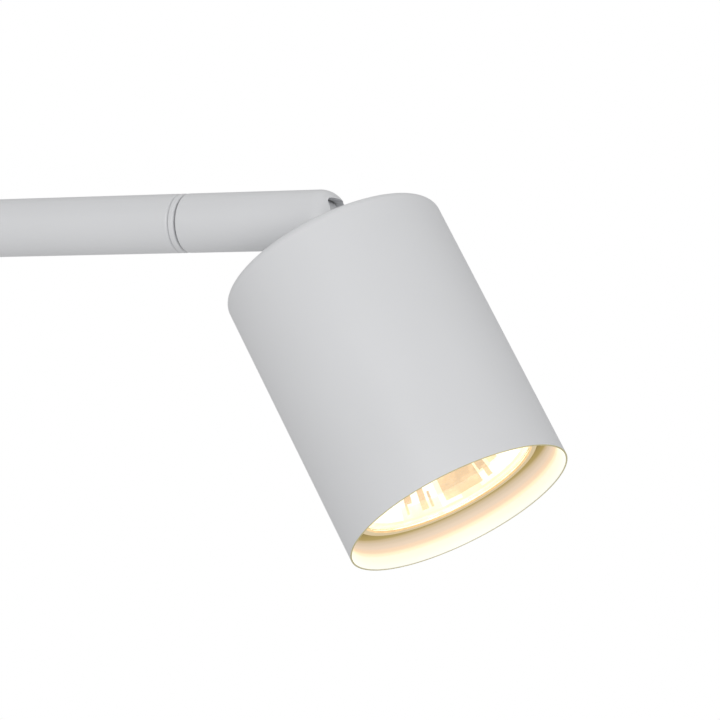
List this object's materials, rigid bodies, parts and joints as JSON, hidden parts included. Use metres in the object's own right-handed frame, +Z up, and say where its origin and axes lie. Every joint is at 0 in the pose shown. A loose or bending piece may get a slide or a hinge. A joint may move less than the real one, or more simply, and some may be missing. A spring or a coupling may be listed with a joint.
{
  "type": "track spotlight",
  "caption": "Long-arm track spotlight: a rail adapter with turning locks, a swivelling hinged arm, and a tilting cylindrical shade round a twist-lock reflector lamp.",
  "frame": {"origin": "centre of the rail insert's top face, on the vertical axis that the fitting swivels about", "axes": "+Z up out of the insert into the rail, +X along the arm from the elbow to the head, and +Y across the rail, parallel to the elbow and head pins"},
  "size_m": [0.3363, 0.06, 0.1291],
  "materials": {
    "arm_paint": "satin",
    "shade_paint": "satin",
    "adapter_moulding": "matte",
    "plated_steel": "satin",
    "contact_copper": "satin",
    "nylon": "matte",
    "lamp_ceramic": "matte",
    "lead_sleeving": "matte",
    "reflector_coating": "polished",
    "lamp_glass": "gloss",
    "filament_wire": "satin"
  },
  "bodies": {
    "adapter": {"adapter_housing": "adapter_moulding", "adapter_lid": "adapter_moulding", "earth_spring": "contact_copper", "lid_screw_front": "plated_steel", "lid_screw_rear": "plated_steel", "terminal_block": "nylon", "swivel_bush": "nylon"},
    "contact_lock": {"contact_wheel": "adapter_moulding", "contact_rotor": "nylon", "contact_live": "contact_copper", "contact_neutral": "contact_copper"},
    "lug_lock": {"lock_wheel": "adapter_moulding", "lock_lug": "plated_steel", "lug_screw": "plated_steel"},
    "swivel": {"swivel_stem": "arm_paint", "stem_lead": "lead_sleeving", "swivel_stop_washer": "plated_steel", "swivel_nut": "plated_steel"},
    "arm": {"elbow_knuckle": "arm_paint", "elbow_pivot_screw": "plated_steel", "arm_tube": "arm_paint", "roll_spigot": "arm_paint", "arm_lead": "lead_sleeving"},
    "knuckle": {"head_knuckle": "arm_paint", "head_pivot_screw": "plated_steel", "roll_stop_screw": "plated_steel", "knuckle_lead": "lead_sleeving"},
    "head": {"head_tongue": "arm_paint", "shade": "shade_paint", "lock_washer": "plated_steel", "holder_bracket": "plated_steel", "earth_tag": "contact_copper", "head_nut": "plated_steel", "lampholder": "lamp_ceramic", "holder_screw_upper": "plated_steel", "holder_screw_lower": "plated_steel", "head_lead": "lead_sleeving"},
    "lamp": {"lamp_reflector": "reflector_coating", "lamp_glass": "lamp_glass", "lamp_base": "lamp_ceramic", "lamp_pin_near": "plated_steel", "lamp_pin_far": "plated_steel", "lamp_capsule": "lamp_glass", "lamp_filament": "filament_wire"}
  },
  "joints": [
    {"name": "contact_lock_turn", "type": "hinge", "parent": "adapter", "child": "contact_lock", "pos_m": [-0.033, 0, -0.02], "axis": [0, 0, 1], "range_deg": [0, 90]},
    {"name": "lug_lock_turn", "type": "hinge", "parent": "adapter", "child": "lug_lock", "pos_m": [0.033, 0, -0.02], "axis": [0, 0, 1], "range_deg": [0, 90]},
    {"name": "swivel_turn", "type": "hinge", "parent": "adapter", "child": "swivel", "pos_m": [0, 0, -0.028], "axis": [0, 0, 1], "range_deg": [-160, 160]},
    {"name": "elbow_fold", "type": "hinge", "parent": "swivel", "child": "arm", "pos_m": [0, 0, -0.03925], "axis": [0, 1, 0], "range_deg": [0, 90]},
    {"name": "head_roll", "type": "hinge", "parent": "arm", "child": "knuckle", "pos_m": [0.1727, 0, -0.03925], "axis": [1, 0, 0], "range_deg": [-155, 155]},
    {"name": "head_tilt", "type": "hinge", "parent": "knuckle", "child": "head", "pos_m": [0.21, 0, -0.03925], "axis": [0, 1, 0], "range_deg": [-58, 32]},
    {"name": "lamp_twist", "type": "hinge", "parent": "head", "child": "lamp", "pos_m": [0.21, 0, -0.03925], "axis": [0.5299, 0, -0.848], "range_deg": [0, 22]}
  ]
}
